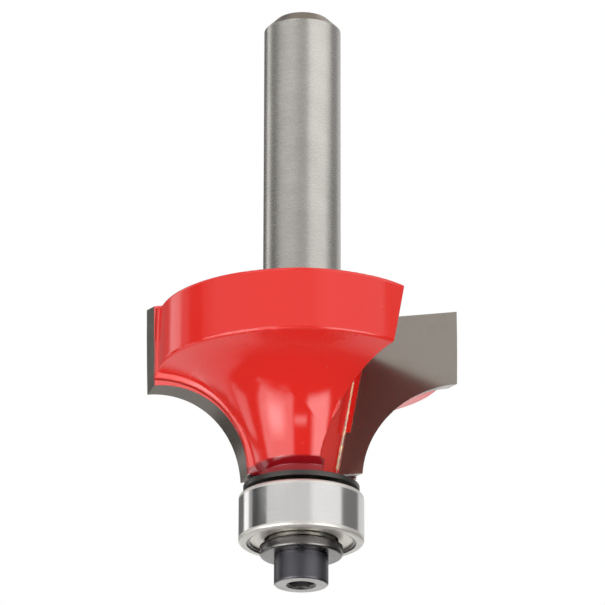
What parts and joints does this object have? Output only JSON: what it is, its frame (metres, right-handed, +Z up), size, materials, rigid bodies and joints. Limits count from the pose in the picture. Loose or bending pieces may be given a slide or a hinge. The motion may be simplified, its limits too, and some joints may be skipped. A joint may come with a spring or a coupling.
{
  "type": "router bit",
  "caption": "Shank-mounted cove router bit with brazed carbide tips on painted wings and a shielded guide bearing held under them by a washer and socket screw.",
  "frame": {"origin": "on the tool's axis, in the plane of the bearing screw's outer face, which the bit stands on", "axes": "+Z up the tool's axis towards the shank's end; +X runs to the upper end of the first cutting edge"},
  "size_m": [0.0318, 0.0294, 0.0615],
  "materials": {
    "painted_steel": "gloss red paint over the wings and hub, ground bare steel shank",
    "carbide": "ground and lapped tungsten carbide",
    "braze": "silver braze, tan and dull",
    "blackened_disc": "black phosphate, matt",
    "bearing_steel": "fine ground and superfinished",
    "ball_steel": "polished",
    "cage_polymer": "moulded nylon",
    "shield_steel": "pressed sheet, satin",
    "spring_steel": "drawn and formed wire, satin",
    "washer_steel": "turned, satin with fine turning marks",
    "black_oxide": "black oxide, worn bright on the socket face"
  },
  "bodies": {
    "cutter": {"cutter_body": "painted_steel", "carbide_tip_1": "carbide", "carbide_tip_2": "carbide", "braze_layer_1": "braze", "braze_layer_2": "braze", "dust_disc": "blackened_disc", "bearing_inner_ring": "bearing_steel", "clamp_washer": "washer_steel", "bearing_screw": "black_oxide"},
    "outer_ring": {"bearing_outer_ring": "bearing_steel", "bearing_shield_upper": "shield_steel", "bearing_shield_lower": "shield_steel", "snap_ring_upper": "spring_steel", "snap_ring_lower": "spring_steel"},
    "ball_set": {"bearing_cage": "cage_polymer", "bearing_ball_1": "ball_steel", "bearing_ball_2": "ball_steel", "bearing_ball_3": "ball_steel", "bearing_ball_4": "ball_steel", "bearing_ball_5": "ball_steel", "bearing_ball_6": "ball_steel", "bearing_ball_7": "ball_steel"}
  },
  "joints": [
    {"name": "bearing_spin", "type": "hinge", "parent": "cutter", "child": "outer_ring", "pos_m": [0, 0, 0.00684], "axis": [0, 0, 1], "continuous": true},
    {"name": "cage_spin", "type": "hinge", "parent": "cutter", "child": "ball_set", "pos_m": [0, 0, 0.00684], "axis": [0, 0, 1], "continuous": true}
  ],
  "couplings": [
    {"joint": "cage_spin", "follows": "bearing_spin", "ratio": 0.63635}
  ]
}
